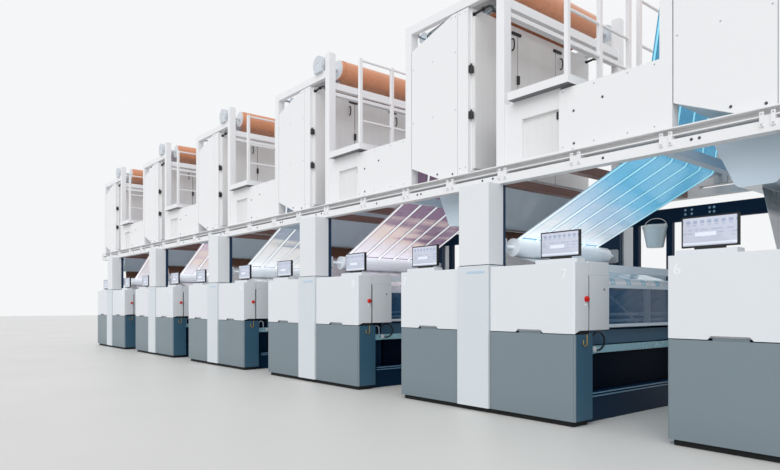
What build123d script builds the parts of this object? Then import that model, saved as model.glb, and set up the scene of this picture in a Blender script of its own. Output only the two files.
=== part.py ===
# Printing press line: a row of like printing units, each with its cabinets, an
# upright between them, and a dryer tower on a long platform above.
# Millimetres, +Z up, +X along the line, the operator's side at -Y.
# A bay's own x runs from the left edge of its upright, and depth d runs inward
# from the cabinets' front face.
import math
import os

from build123d import *

# Sizes: the line
UNITS = 6
PITCH = 4500.0              # from one unit to the next
DEPTH = 3900.0              # cabinet front to cabinet front, across the line
HALF = DEPTH / 2

# Sizes: cabinets
SKIRT_H = 70.0              # recessed dark plinth
SKIRT_IN = 50.0
CAB_LEFT_W = 1320.0
CAB_RIGHT_W = 1388.0
LOW_TOP = 1160.0            # top of the grey lower cabinet
LOW_DEPTH = 400.0
LOW_PANEL_T = 35.0          # the grey front panel; the dark body lies behind it
LOW_BODY_IN = 4.0
SHADOW = 10.0               # dark joint between lower and upper cabinet
COVER_TOP = 2070.0
COVER_DEPTH = 315.0
SLIT = 20.0                 # dark upright joint behind the front cover
SIDE_COVER_TOP = 1920.0
SIDE_COVER_END = 780.0
SIDE_COVER_LOW = 1210.0
CAP_TOP = 2095.0            # box on the side cover, at the print station's end
CAP_W = 302.0
CAP_INSET = 6.0
FRAME_RIGHT = 1690.0        # the side frame ends well inside the cabinet's end
CORNER_R = 18.0
JOINT_IN = 12.0             # how far the dark joints lie inside the faces
COVER_RISE = 40.0           # the cover's lower edge rises this much behind its front
COVER_RISE_D = 110.0
PANEL_GAP = 8.0             # cabinet to upright
GRIP_W = 450.0              # finger recess at the cover's lower edge
GRIP_H = 40.0
GRIP_DEPTH = 45.0
GRIP_SLOPE = 35.0
LIP_IN = 45.0               # the cabinet's own lip inside the recess
LIP_RISE = 26.0
GRIP_LEFT_IN, GRIP_RIGHT_IN = 650.0, 707.0      # in from the cabinets' outer ends

# Sizes: uprights between the cabinets
PILLAR_W = 606.0
PILLAR_PROUD = 25.0
PILLAR_COVER_TOP = 2100.0
PILLAR_DEPTH = 310.0
PILLAR_INSET = 12.0
PILLAR_POST_INSET = 40.0
PILLAR_POST_END = 400.0

# Sizes: platform beams
BEAM_D = 230.0
BEAM_W = 150.0
BEAM_LOW = 3280.0
BEAM_H = 120.0
RAIL_LOW = 3440.0
RAIL_H = 100.0
RAIL_WALL = 14.0
CLAMP_W = 150.0
CLAMP_EAR = 42.0
CLAMP_LIP = 18.0
CLAMPS = (-1450.0, -400.0, 650.0, 1860.0)
CROSS_W = 120.0
CROSS_X = (-1505.0, 525.0, 1700.0)
RAIL_TOP = RAIL_LOW + RAIL_H

# Sizes: frame on the platform
POST_W = 150.0
POST_D = 150.0
POST_X = -1580.0            # left post of a bay
POST_DEPTH = 330.0          # the plane of posts and end panels, in from the front
MAIN_X = 450.0              # post beside the dryer doors
TOP_RAIL_LOW = 6130.0
TOP_RAIL_H = 140.0
TOP_RAIL_W = 100.0
MAIN_RISE = 330.0           # the main post stands this much over the top rail
MAIN_TOP = TOP_RAIL_LOW + TOP_RAIL_H + MAIN_RISE
TIE_HIGH_LOW = 5895.0
TIE_HIGH_H = 135.0
TIE_LOW_LOW = 5770.0
TIE_LOW_H = 65.0
TIE_W = 110.0

BAY_END = POST_X + PITCH

# Sizes: dryer tower
DRYER_LEFT = -1415.0
DRYER_RIGHT = -95.0
DRYER_LOW = 3600.0
DRYER_TOP = 6110.0
DRYER_CUT_W = 965.0
DRYER_CUT_H = 290.0
DRYER_FOOT_W = 730.0
DRYER_FOOT_H = 240.0
END_PANEL_RIGHT = -345.0
STRIP_RIGHT = -117.0
STRIP_T = 70.0
DOOR_T = 45.0
DOOR_LOW = 3640.0
DOOR_TOP = 5980.0
DOOR_GAP = 20.0
DOORS = 3
OUTLET_X = -180.0
LIP_W = 60.0
LIP_H = 60.0
HOOD_LEFT = -1230.0
HOOD_RIGHT = -120.0
HOOD_LOW = 2840.0
HOOD_FLAT = 420.0
HOOD_R = 90.0

# Sizes: panels below the catwalk
HATCH_X0 = 905.0
HATCH_X1 = 1520.0
HATCH_Z0 = 3595.0
HATCH_Z1 = 4160.0
FRAME_X1 = 1534.0
FRAME_T = 50.0
FRAME_IN = 22.0             # the hatch frame lies behind the infill's face
HATCH_BACK = 60.0
HATCH_T = 20.0
INFILL_TOP = 4395.0
INFILL_T = 40.0

# Sizes: catwalk
WALK_X0 = 750.0
WALK_X1 = 1750.0
WALK_LOW = 4430.0
WALK_TOP = 4545.0
WALK_PROUD = 110.0
WALK_EDGE = 12.0
WALK_DECK_T = 40.0
RAIL_R = 20.0
RAIL_POST_W = 60.0
GUARD_X = 1700.0
GUARD_TOP = 6120.0
GUARD_RAILS = (4970.0, 5420.0, 6090.0)
GUARD_DS = (280.0, 1040.0, 1800.0)   # each half of the guard is a panel with three posts

# Sizes: rollers
WEB_T = 4.0
WEB_SIDE_GAP = 70.0         # the web's edge to the side covers
WEB_HALF = HALF - SIDE_COVER_END - WEB_SIDE_GAP
HOOD_HALF = WEB_HALF + 150
WEB_CUT = 0.5               # between two runs of web, which are separate solids
GAP = 5.0                   # from a turning roller to what is next to it
FIT = 0.3                   # shaft in its bearing
SEAT = 0.3
TOP_X, TOP_R = 255.0, 195.0
TOP_HALF = WEB_HALF + 90
TOP_SHAFT_R = 36.0
RING_R = 170.0
RING_D = 270.0
RING_T = 110.0
TOP_Z = TOP_RAIL_LOW + TOP_RAIL_H + RING_R
LEAD_X, LEAD_Z, LEAD_R = 450.0, 2400.0, 135.0
LEAD_SHAFT_R = 30.0
LEAD_BLOCK_W = 190.0
LEAD_BLOCK_H = 240.0
LEAD_BLOCK_T = 60.0
LEAD_HALF = WEB_HALF + 150
GUIDE_HALF = WEB_HALF + 100
GUIDE_LAP = 30.0
GUIDE_SHAFT_R = 25.0
CORNER_X, CORNER_Z, CORNER_ROLL_R = -1590.0, 6230.0, 100.0
TURN_X, TURN_Z, TURN_R = 2283.0, 3575.0, 100.0
IN_X, IN_Z, IN_R = 1650.0, 1830.0, 85.0
OUT_X, OUT_Z, OUT_R = -300.0, 1480.0, 85.0
BRACKET_T = 40.0

# the whole line, centred on the origin, from the last guide roller to the end post
LINE = (UNITS - 1) * PITCH + BAY_END + POST_W - CORNER_X + CORNER_ROLL_R
UNIT_X = [LINE / 2 - BAY_END - POST_W - i * PITCH for i in range(UNITS)]
LINE_LEFT = UNIT_X[-1] + POST_X
LINE_RIGHT = LINE / 2

# Sizes: print station
COUPLE_X = 1080.0
PLATE_R = 230.0
IMPRESSION_R = 150.0
NIP_Z = 1395.0
INK_R = 110.0
INK_X = 1400.0
TRAY_X0, TRAY_X1 = 820.0, 1790.0
TRAY_LOW, TRAY_TOP = 880.0, 985.0
TRAY_WALL = 12.0
TRAY_SLOPE = 40.0
SHELF_D = 460.0
GUARD_PANE_X = 1790.0
GUARD_PANE_LOW, GUARD_PANE_TOP = 1270.0, 1770.0
GUARD_BAR = 45.0
GUARD_MID_D, GUARD_MID_W = 2140.0, 120.0
PANE_T = 10.0
TIE_BAR_X = 1700.0
TIE_BAR_LOW = 1985.0
TIE_BAR_H, TIE_BAR_W = 105.0, 100.0
BLADE_X0, BLADE_X1 = 1516.0, 1680.0
BLADE_LOW, BLADE_TOP = 990.0, 1180.0
TROLLEY_X0, TROLLEY_X1 = 900.0, 1700.0
TROLLEY_LOW = 120.0         # the tray stands on the trolley
TROLLEY_IN = 60.0
WHEEL_R, WHEEL_W = 60.0, 40.0
HEADER_LOW, HEADER_H, HEADER_W = 2900.0, 230.0, 90.0
HEADER_D = 360.0            # in from the far side's front
HEADER_POSTS = (895.0, 1485.0)
HEADER_POST_W = 100.0
FRAME_LOW_IN = 60.0
SILL_X = 1740.0
SILL_W = 140.0
SILL_H = 380.0

# Sizes: small pieces
MON_W, MON_H, MON_T = 600.0, 340.0, 40.0
MON_D = 200.0
MON_Z = 2160.0
MON_LEFT_IN, MON_RIGHT_IN = 360.0, 362.0        # in from the cabinets' outer ends
RISER_W, RISER_D, RISER_H = 640.0, 180.0, 60.0
STOP_Y, STOP_Z, STOP_R, STOP_T = 245.0, 1610.0, 38.0, 45.0


def block(x0, x1, d0, d1, z0, z1, mode=Mode.ADD):
    """A plain block by its limits: x along the bay, d inward from the front."""
    with Locations(((x0 + x1) / 2, (d0 + d1) / 2 - HALF, (z0 + z1) / 2)):
        Box(x1 - x0, d1 - d0, z1 - z0, mode=mode)


def front_plane(d):
    """The upright plane at depth d, looking out at the operator's side."""
    return Plane.XZ.offset(HALF - d)


def write(piece, name):
    piece.part.label = name
    os.makedirs("parts", exist_ok=True)
    export_step(piece.part, "parts/" + name + ".step")


BAYS = [(x, 0, 0) for x in UNIT_X]
CAB_SPANS = ((-CAB_LEFT_W, -PANEL_GAP), (PILLAR_W + PANEL_GAP, PILLAR_W + PANEL_GAP + CAB_RIGHT_W))
CAB_END = CAB_SPANS[1][1]
GRIPS = (GRIP_LEFT_IN - CAB_LEFT_W, CAB_END - GRIP_RIGHT_IN)
SCREENS = (MON_LEFT_IN - CAB_LEFT_W, CAB_END - MON_RIGHT_IN)

# Pieces: cabinets
with BuildPart() as skirt_bay:
    block(SKIRT_IN - CAB_LEFT_W, CAB_END - SKIRT_IN, SKIRT_IN, LOW_DEPTH - SKIRT_IN, 0, SKIRT_H)
    mirror(about=Plane.XZ)
with BuildPart() as base_skirts:
    with Locations(*BAYS):
        add(skirt_bay.part)
write(base_skirts, "base_skirts")

# the grey front panel has rounded edges, and a lip that shows inside the cover's recess
with BuildPart() as low_bay:
    for (x0, x1), grip_x in zip(CAB_SPANS, GRIPS):
        with BuildSketch(Plane.XY.offset(SKIRT_H)):
            with BuildLine():
                Polyline((x0, LOW_PANEL_T - HALF), (x0, CORNER_R - HALF))
                RadiusArc((x0, CORNER_R - HALF), (x0 + CORNER_R, -HALF), CORNER_R)
                Polyline((x0 + CORNER_R, -HALF), (x1 - CORNER_R, -HALF))
                RadiusArc((x1 - CORNER_R, -HALF), (x1, CORNER_R - HALF), CORNER_R)
                Polyline((x1, CORNER_R - HALF), (x1, LOW_PANEL_T - HALF), (x0, LOW_PANEL_T - HALF))
            make_face()
        extrude(amount=LOW_TOP - SKIRT_H)
        block(grip_x - GRIP_W / 2 + LIP_IN, grip_x + GRIP_W / 2 - LIP_IN, LOW_PANEL_T - JOINT_IN,
              LOW_PANEL_T, LOW_TOP, LOW_TOP + LIP_RISE)
    mirror(about=Plane.XZ)
with BuildPart() as lower_cabinets:
    with Locations(*BAYS):
        add(low_bay.part)
write(lower_cabinets, "lower_cabinets")

with BuildPart() as body_bay:
    for x0, x1 in CAB_SPANS:
        block(x0 + LOW_BODY_IN, x1 - LOW_BODY_IN, LOW_PANEL_T, LOW_DEPTH, SKIRT_H, LOW_TOP)
    mirror(about=Plane.XZ)
with BuildPart() as cabinet_bodies:
    with Locations(*BAYS):
        add(body_bay.part)
write(cabinet_bodies, "cabinet_bodies")

COVER_LOW = LOW_TOP + SHADOW
COVER_EDGE = COVER_LOW + COVER_RISE
with BuildPart() as cover_bay:
    for (x0, x1), grip_x in zip(CAB_SPANS, GRIPS):
        with BuildSketch(Plane.XY.offset(COVER_LOW)):
            with Locations(((x0 + x1) / 2, COVER_DEPTH / 2 - HALF)):
                RectangleRounded(x1 - x0, COVER_DEPTH, CORNER_R)
        extrude(amount=COVER_TOP - COVER_LOW)
        with BuildSketch(front_plane(0)):
            with BuildLine():
                Polyline((grip_x - GRIP_W / 2, COVER_LOW), (grip_x + GRIP_W / 2, COVER_LOW),
                         (grip_x + GRIP_W / 2 - GRIP_SLOPE, COVER_LOW + GRIP_H),
                         (grip_x - GRIP_W / 2 + GRIP_SLOPE, COVER_LOW + GRIP_H), close=True)
            make_face()
        extrude(amount=-GRIP_DEPTH, mode=Mode.SUBTRACT)
    # the lower edge rises from the front inward, as it shows at the cover's end
    with BuildSketch(Plane.YZ.offset(CAB_SPANS[0][0])):
        with BuildLine():
            Polyline((-HALF, COVER_LOW), (COVER_RISE_D - HALF, COVER_EDGE),
                     (COVER_DEPTH - HALF, COVER_EDGE), (COVER_DEPTH - HALF, COVER_LOW), close=True)
        make_face()
    extrude(amount=CAB_END - CAB_SPANS[0][0], mode=Mode.SUBTRACT)
    mirror(about=Plane.XZ)
with BuildPart() as front_covers:
    with Locations(*BAYS):
        add(cover_bay.part)
write(front_covers, "front_covers")

# dark joints: a strip under each cover and an upright strip behind it
with BuildPart() as joint_bay:
    for x0, x1 in CAB_SPANS:
        block(x0 + JOINT_IN, x1 - JOINT_IN, COVER_RISE_D, COVER_DEPTH, LOW_TOP, COVER_EDGE)
        block(x0 + JOINT_IN, x1 - JOINT_IN, COVER_DEPTH, COVER_DEPTH + SLIT, LOW_TOP,
              SIDE_COVER_TOP - JOINT_IN)
    mirror(about=Plane.XZ)
with BuildPart() as cabinet_joints:
    with Locations(*BAYS):
        add(joint_bay.part)
write(cabinet_joints, "cabinet_joints")

with BuildPart() as side_bay:
    for x0, x1 in CAB_SPANS:
        block(x0, x1, COVER_DEPTH + SLIT, SIDE_COVER_END, SIDE_COVER_LOW, SIDE_COVER_TOP)
    block(CAB_END - CAP_W, CAB_END - CAP_INSET, COVER_DEPTH, SIDE_COVER_END, SIDE_COVER_TOP, CAP_TOP)
    mirror(about=Plane.XZ)
with BuildPart() as side_covers:
    with Locations(*BAYS):
        add(side_bay.part)
write(side_covers, "side_covers")

with BuildPart() as frame_bay:
    block(FRAME_LOW_IN - CAB_LEFT_W, FRAME_RIGHT, LOW_DEPTH, SIDE_COVER_END, 0, SIDE_COVER_LOW)
    mirror(about=Plane.XZ)
with BuildPart() as side_frames:
    with Locations(*BAYS):
        add(frame_bay.part)
write(side_frames, "side_frames")

# Pieces: uprights
with BuildPart() as pillar_cover_bay:
    block(0, PILLAR_W, -PILLAR_PROUD, PILLAR_DEPTH, SKIRT_H, PILLAR_COVER_TOP)
    mirror(about=Plane.XZ)
with BuildPart() as pillar_covers:
    with Locations(*BAYS):
        add(pillar_cover_bay.part)
write(pillar_covers, "pillar_covers")

with BuildPart() as pillar_box_bay:
    block(PILLAR_INSET, PILLAR_W - PILLAR_INSET, 0, PILLAR_DEPTH, PILLAR_COVER_TOP, BEAM_LOW)
    mirror(about=Plane.XZ)
with BuildPart() as pillar_boxes:
    with Locations(*BAYS):
        add(pillar_box_bay.part)
write(pillar_boxes, "pillar_boxes")

with BuildPart() as pillar_post_bay:
    block(PILLAR_POST_INSET, PILLAR_W - PILLAR_POST_INSET, PILLAR_DEPTH, PILLAR_POST_END,
          SIDE_COVER_LOW, BEAM_LOW)
    mirror(about=Plane.XZ)
with BuildPart() as pillar_posts:
    with Locations(*BAYS):
        add(pillar_post_bay.part)
write(pillar_posts, "pillar_posts")

# Pieces: platform
with BuildPart() as platform_beams:
    block(LINE_LEFT, LINE_RIGHT, BEAM_D, BEAM_D + BEAM_W, BEAM_LOW, BEAM_LOW + BEAM_H)
    mirror(about=Plane.XZ)
write(platform_beams, "platform_beams")

with BuildPart() as clamp_rails:
    block(LINE_LEFT, LINE_RIGHT, BEAM_D, BEAM_D + BEAM_W, RAIL_LOW, RAIL_TOP)
    block(LINE_LEFT, LINE_RIGHT, BEAM_D, BEAM_D + BEAM_W - RAIL_WALL, RAIL_LOW + RAIL_WALL,
          RAIL_TOP - RAIL_WALL, mode=Mode.SUBTRACT)
    mirror(about=Plane.XZ)
write(clamp_rails, "clamp_rails")

with BuildPart() as clamp_bay:
    for x in CLAMPS:
        block(x - CLAMP_W / 2, x + CLAMP_W / 2, BEAM_D, BEAM_D + BEAM_W,
              BEAM_LOW + BEAM_H, RAIL_LOW)
        for side in (-1, 1):
            ear = x + side * (CLAMP_W - CLAMP_EAR) / 2
            block(ear - CLAMP_EAR / 2, ear + CLAMP_EAR / 2, BEAM_D - CLAMP_LIP, BEAM_D,
                  BEAM_LOW + BEAM_H / 2, RAIL_LOW + RAIL_H / 2)
    mirror(about=Plane.XZ)
with BuildPart() as rail_clamps:
    with Locations(*BAYS):
        add(clamp_bay.part)
write(rail_clamps, "rail_clamps")

with BuildPart() as cross_bay:
    for x in CROSS_X:
        block(x - CROSS_W / 2, x + CROSS_W / 2, BEAM_D + BEAM_W, DEPTH - BEAM_D - BEAM_W,
              BEAM_LOW, BEAM_LOW + BEAM_H)
with BuildPart() as floor_cross_beams:
    with Locations(*BAYS):
        add(cross_bay.part)
write(floor_cross_beams, "floor_cross_beams")

# Pieces: frame on the platform
POST_BACK = POST_DEPTH + POST_D
with BuildPart() as post_bay:
    block(POST_X, POST_X + POST_W, POST_DEPTH, POST_BACK, RAIL_TOP, TOP_RAIL_LOW + TOP_RAIL_H)
    block(MAIN_X, MAIN_X + POST_W, POST_DEPTH, POST_BACK, RAIL_TOP, MAIN_TOP)
    mirror(about=Plane.XZ)
with BuildPart() as end_post:
    block(BAY_END, BAY_END + POST_W, POST_DEPTH, POST_BACK, RAIL_TOP, TOP_RAIL_LOW + TOP_RAIL_H)
    mirror(about=Plane.XZ)
with BuildPart() as frame_posts:
    with Locations(*BAYS):
        add(post_bay.part)
    with Locations(BAYS[0]):
        add(end_post.part)
write(frame_posts, "frame_posts")

with BuildPart() as top_rail_bay:
    block(POST_X + POST_W, MAIN_X, POST_DEPTH, POST_DEPTH + TOP_RAIL_W, TOP_RAIL_LOW,
          TOP_RAIL_LOW + TOP_RAIL_H)
    mirror(about=Plane.XZ)
with BuildPart() as tie_bay:
    for low, high in ((TIE_HIGH_LOW, TIE_HIGH_H), (TIE_LOW_LOW, TIE_LOW_H)):
        block(MAIN_X + (POST_W - TIE_W) / 2, MAIN_X + (POST_W + TIE_W) / 2, POST_BACK,
              DEPTH - POST_BACK, low, low + high)
with BuildPart() as top_beams:
    with Locations(*BAYS):
        add(top_rail_bay.part)
        add(tie_bay.part)
write(top_beams, "top_beams")

# Pieces: dryer
with BuildPart() as dryer_bay:
    with BuildSketch(Plane.XZ):
        with BuildLine():
            Polyline((DRYER_LEFT + DRYER_FOOT_W, DRYER_LOW), (DRYER_RIGHT, DRYER_LOW),
                     (DRYER_RIGHT, DRYER_TOP),
                     (DRYER_LEFT + DRYER_CUT_W, DRYER_TOP), (DRYER_LEFT, DRYER_TOP - DRYER_CUT_H),
                     (DRYER_LEFT, DRYER_LOW + DRYER_FOOT_H), close=True)
        make_face()
    extrude(amount=HALF - POST_DEPTH - STRIP_T, both=True)
    # the lip that the web comes out of
    block(OUTLET_X - LIP_W, OUTLET_X, HALF - WEB_HALF - LIP_W, HALF + WEB_HALF + LIP_W,
          DRYER_TOP, DRYER_TOP + LIP_H)
with BuildPart() as dryer_housings:
    with Locations(*BAYS):
        add(dryer_bay.part)
write(dryer_housings, "dryer_housings")

with BuildPart() as end_panel_bay:
    with BuildSketch(front_plane(POST_DEPTH)):
        with BuildLine():
            Polyline((DRYER_LEFT + DRYER_FOOT_W, RAIL_TOP), (END_PANEL_RIGHT, RAIL_TOP),
                     (END_PANEL_RIGHT, DRYER_TOP), (DRYER_LEFT + DRYER_CUT_W, DRYER_TOP),
                     (DRYER_LEFT, DRYER_TOP - DRYER_CUT_H),
                     (DRYER_LEFT, DRYER_LOW + DRYER_FOOT_H), close=True)
        make_face()
    extrude(amount=-STRIP_T)
    block(END_PANEL_RIGHT + PANEL_GAP, STRIP_RIGHT, POST_DEPTH, POST_DEPTH + STRIP_T,
          RAIL_TOP, DRYER_TOP)
    mirror(about=Plane.XZ)
with BuildPart() as dryer_end_panels:
    with Locations(*BAYS):
        add(end_panel_bay.part)
write(dryer_end_panels, "dryer_end_panels")

DOOR_FRONT = POST_DEPTH + STRIP_T
DOOR_RUN = DEPTH - 2 * DOOR_FRONT
DOOR_W = (DOOR_RUN - (DOORS + 1) * DOOR_GAP) / DOORS
DOOR_STARTS = [DOOR_FRONT + DOOR_GAP + i * (DOOR_W + DOOR_GAP) for i in range(DOORS)]
with BuildPart() as door_bay:
    for start in DOOR_STARTS:
        block(DRYER_RIGHT, DRYER_RIGHT + DOOR_T, start, start + DOOR_W, DOOR_LOW, DOOR_TOP)
with BuildPart() as dryer_doors:
    with Locations(*BAYS):
        add(door_bay.part)
write(dryer_doors, "dryer_doors")

with BuildPart() as hood_bay:
    with BuildSketch(Plane.XZ) as hood_face:
        with BuildLine():
            Polyline((HOOD_LEFT, DRYER_LOW), (HOOD_RIGHT, DRYER_LOW),
                     ((HOOD_LEFT + HOOD_RIGHT + HOOD_FLAT) / 2, HOOD_LOW),
                     ((HOOD_LEFT + HOOD_RIGHT - HOOD_FLAT) / 2, HOOD_LOW), close=True)
        make_face()
        fillet(hood_face.vertices().group_by(Axis.Y)[0], HOOD_R)
    extrude(amount=HOOD_HALF, both=True)
with BuildPart() as dryer_hoods:
    with Locations(*BAYS):
        add(hood_bay.part)
write(dryer_hoods, "dryer_hoods")

# Pieces: panels under the catwalk
FRAME_D = POST_DEPTH + FRAME_IN
with BuildPart() as hatch_frame_bay:
    block(MAIN_X + POST_W, FRAME_X1, FRAME_D, FRAME_D + FRAME_T, RAIL_TOP, WALK_LOW)
    block(HATCH_X0, HATCH_X1, FRAME_D, FRAME_D + FRAME_T, HATCH_Z0, HATCH_Z1, mode=Mode.SUBTRACT)
    mirror(about=Plane.XZ)
with BuildPart() as hatch_frames:
    with Locations(*BAYS):
        add(hatch_frame_bay.part)
write(hatch_frames, "hatch_frames")

with BuildPart() as hatch_bay:
    block(HATCH_X0 - HATCH_BACK, HATCH_X1 + HATCH_BACK, FRAME_D + FRAME_T,
          FRAME_D + FRAME_T + HATCH_T, HATCH_Z0 - HATCH_BACK / 2, HATCH_Z1 + HATCH_BACK)
    mirror(about=Plane.XZ)
with BuildPart() as hatch_panels:
    with Locations(*BAYS):
        add(hatch_bay.part)
write(hatch_panels, "hatch_panels")

with BuildPart() as infill_bay:
    block(FRAME_X1, BAY_END, POST_DEPTH, POST_DEPTH + INFILL_T, RAIL_TOP, INFILL_TOP)
    mirror(about=Plane.XZ)
with BuildPart() as infill_panels:
    with Locations(*BAYS):
        add(infill_bay.part)
write(infill_panels, "infill_panels")

# Pieces: catwalk
with BuildPart() as deck_bay:
    block(WALK_X0, WALK_X1 - WALK_EDGE, POST_BACK, DEPTH - POST_BACK, WALK_TOP - WALK_DECK_T * 2,
          WALK_TOP - WALK_DECK_T)
with BuildPart() as catwalk_decks:
    with Locations(*BAYS):
        add(deck_bay.part)
write(catwalk_decks, "catwalk_decks")

WALK_FRONT = POST_DEPTH - WALK_PROUD
with BuildPart() as edge_bay:
    # a channel across each end, an edge strip on the open side, and brackets at the posts
    block(WALK_X0, WALK_X1, WALK_FRONT, WALK_FRONT + WALK_EDGE, WALK_LOW, WALK_TOP)
    block(WALK_X0, WALK_X1, WALK_FRONT, POST_BACK, WALK_LOW, WALK_LOW + WALK_EDGE)
    block(MAIN_X + POST_W, WALK_X1, POST_BACK - WALK_EDGE, POST_BACK, WALK_LOW, WALK_TOP)
    mirror(about=Plane.XZ)
    block(WALK_X1 - WALK_EDGE, WALK_X1, WALK_FRONT, DEPTH - WALK_FRONT, WALK_LOW, WALK_TOP)
    block(WALK_X0 - WALK_EDGE, WALK_X0, POST_BACK - WALK_EDGE, DEPTH - POST_BACK + WALK_EDGE,
          WALK_LOW, WALK_TOP)
with BuildPart() as catwalk_edges:
    with Locations(*BAYS):
        add(edge_bay.part)
write(catwalk_edges, "catwalk_edges")

with BuildPart() as guard_bay:
    for d in GUARD_DS:
        foot = WALK_LOW + WALK_EDGE if d == GUARD_DS[0] else WALK_TOP - WALK_DECK_T
        block(GUARD_X - RAIL_POST_W / 2, GUARD_X + RAIL_POST_W / 2, d - RAIL_POST_W / 2,
              d + RAIL_POST_W / 2, foot, GUARD_TOP)
    for z in GUARD_RAILS:
        with BuildSketch(front_plane(GUARD_DS[0])):
            with Locations((GUARD_X, z)):
                Circle(RAIL_R)
        extrude(amount=GUARD_DS[0] - GUARD_DS[-1])
    mirror(about=Plane.XZ)
with BuildPart() as guard_rails:
    with Locations(*BAYS):
        add(guard_bay.part)
write(guard_rails, "guard_rails")


# Pieces: web and its rollers
def tangent(a, b):
    """Where the web leaves roller a and meets roller b.

    A roller is (x, z, radius, turn), turn 1 where the web goes round it
    anticlockwise, seen from the operator's side, and -1 where clockwise."""
    ax, az, ar, at = a
    bx, bz, br, bt = b
    gap = math.hypot(bx - ax, bz - az)
    along = math.atan2(bz - az, bx - ax)
    lean = math.asin((bt * br - at * ar) / gap) if gap else 0.0
    run = along - lean
    # the centre lies to the left of the web's way where the turn is anticlockwise
    nx, nz = -math.sin(run), math.cos(run)
    return ((ax - at * ar * nx, az - at * ar * nz), (bx - bt * br * nx, bz - bt * br * nz), run)


def strip(start, end):
    """A straight run of the web's section, up to a fine cut before the next run."""
    run = math.atan2(end[1] - start[1], end[0] - start[0])
    length = math.dist(start, end) - WEB_CUT
    with Locations((start[0] + length / 2 * math.cos(run), start[1] + length / 2 * math.sin(run))):
        Rectangle(length, WEB_T, rotation=math.degrees(run))


def wrap(roller, heading_in, heading_out):
    """The web's section round a roller, between two headings of its way."""
    x, z, r, turn = roller
    start = heading_in - turn * math.pi / 2
    sweep = (heading_out - heading_in) * turn
    while sweep < 0:
        sweep += 2 * math.pi
    a0 = math.degrees(start)
    size = turn * math.degrees(sweep)
    with BuildLine() as outline:
        outer = CenterArc((x, z), r + WEB_T / 2, a0, size)
        inner = CenterArc((x, z), r - WEB_T / 2, a0, size)
        Line(outer @ 0, inner @ 0)
        Line(outer @ 1, inner @ 1)
    make_face(outline.edges())


FIXED = WEB_T / 2 + SEAT
LOOSE = WEB_T / 2 + GAP
corner_in = (CORNER_X + PITCH, CORNER_Z, CORNER_ROLL_R + FIXED, 1)
turn_roll = (TURN_X, TURN_Z, TURN_R + FIXED, -1)
lead_roll = (LEAD_X, LEAD_Z, LEAD_R + LOOSE, 1)
in_roll = (IN_X, IN_Z, IN_R + FIXED, -1)
out_roll = (OUT_X, OUT_Z, OUT_R + FIXED, -1)
nip_roll = (COUPLE_X, NIP_Z + IMPRESSION_R + FIXED, IMPRESSION_R + FIXED, -1)
inlet = ((HOOD_LEFT + HOOD_RIGHT) / 2, HOOD_LOW - WEB_T / 2)
outlet = (OUTLET_X + WEB_T / 4, DRYER_TOP + LIP_H / 2)
top_roll = (TOP_X, TOP_Z, TOP_R + LOOSE, 1)
corner_out = (CORNER_X, CORNER_Z, CORNER_ROLL_R + FIXED, 1)

route = (corner_in, turn_roll, lead_roll, in_roll, nip_roll, out_roll)
legs = [tangent(a, b) for a, b in zip(route, route[1:])]
inlet_leg = tangent(out_roll, (inlet[0], inlet[1], 0.0, 1))
outlet_leg = tangent((outlet[0], outlet[1], 0.0, 1), top_roll)
corner_leg = tangent(top_roll, corner_out)
top_heading = corner_leg[2]


def web_run(leg, roller=None, heading_in=None):
    """One solid of web: the wrap round a roller and the straight run after it."""
    with BuildPart() as run:
        with BuildSketch(Plane.XZ):
            strip(leg[0], leg[1])
            if roller is not None:
                wrap(roller, heading_in, leg[2])
        extrude(amount=WEB_HALF, both=True)
    return run.part


runs = [
    web_run(legs[0], corner_in, top_heading),
    web_run(legs[1], turn_roll, legs[0][2]),
    web_run(legs[2], lead_roll, legs[1][2]),
    web_run(legs[3], in_roll, legs[2][2]),
    web_run(legs[4], nip_roll, legs[3][2]),
    web_run(inlet_leg, out_roll, legs[4][2]),
    web_run(outlet_leg),
    web_run(corner_leg, top_roll, outlet_leg[2]),
]
with BuildPart() as web_sheets:
    for x in UNIT_X:
        with Locations((x, 0, 0)):
            for run in runs:
                add(run)
write(web_sheets, "web_sheets")


def roller(x, z, r, half, shaft_r, shaft_end):
    """A roller and its shaft, lying along Y, for use inside a builder."""
    for radius, reach in ((r, half), (shaft_r, shaft_end)):
        with BuildSketch(Plane.XZ) as disc:
            with Locations((x, z)):
                Circle(radius)
        extrude(disc.sketch, amount=reach, both=True)


with BuildPart() as guide_bay:
    roller(TURN_X, TURN_Z, TURN_R, GUIDE_HALF, GUIDE_SHAFT_R, HALF - BEAM_D - BEAM_W - BRACKET_T)
    roller(CORNER_X, CORNER_Z, CORNER_ROLL_R, GUIDE_HALF, GUIDE_SHAFT_R,
           HALF - POST_BACK - BRACKET_T)
    roller(IN_X, IN_Z, IN_R, WEB_HALF + GUIDE_LAP, GUIDE_SHAFT_R, HALF - SIDE_COVER_END)
    roller(OUT_X, OUT_Z, OUT_R, WEB_HALF + GUIDE_LAP, GUIDE_SHAFT_R, HALF - SIDE_COVER_END)
with BuildPart() as guide_end:
    roller(CORNER_X + PITCH, CORNER_Z, CORNER_ROLL_R, GUIDE_HALF, GUIDE_SHAFT_R,
           HALF - POST_BACK - BRACKET_T)
with BuildPart() as guide_rollers:
    with Locations(*BAYS):
        add(guide_bay.part)
    with Locations(BAYS[0]):
        add(guide_end.part)
write(guide_rollers, "guide_rollers")

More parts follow.
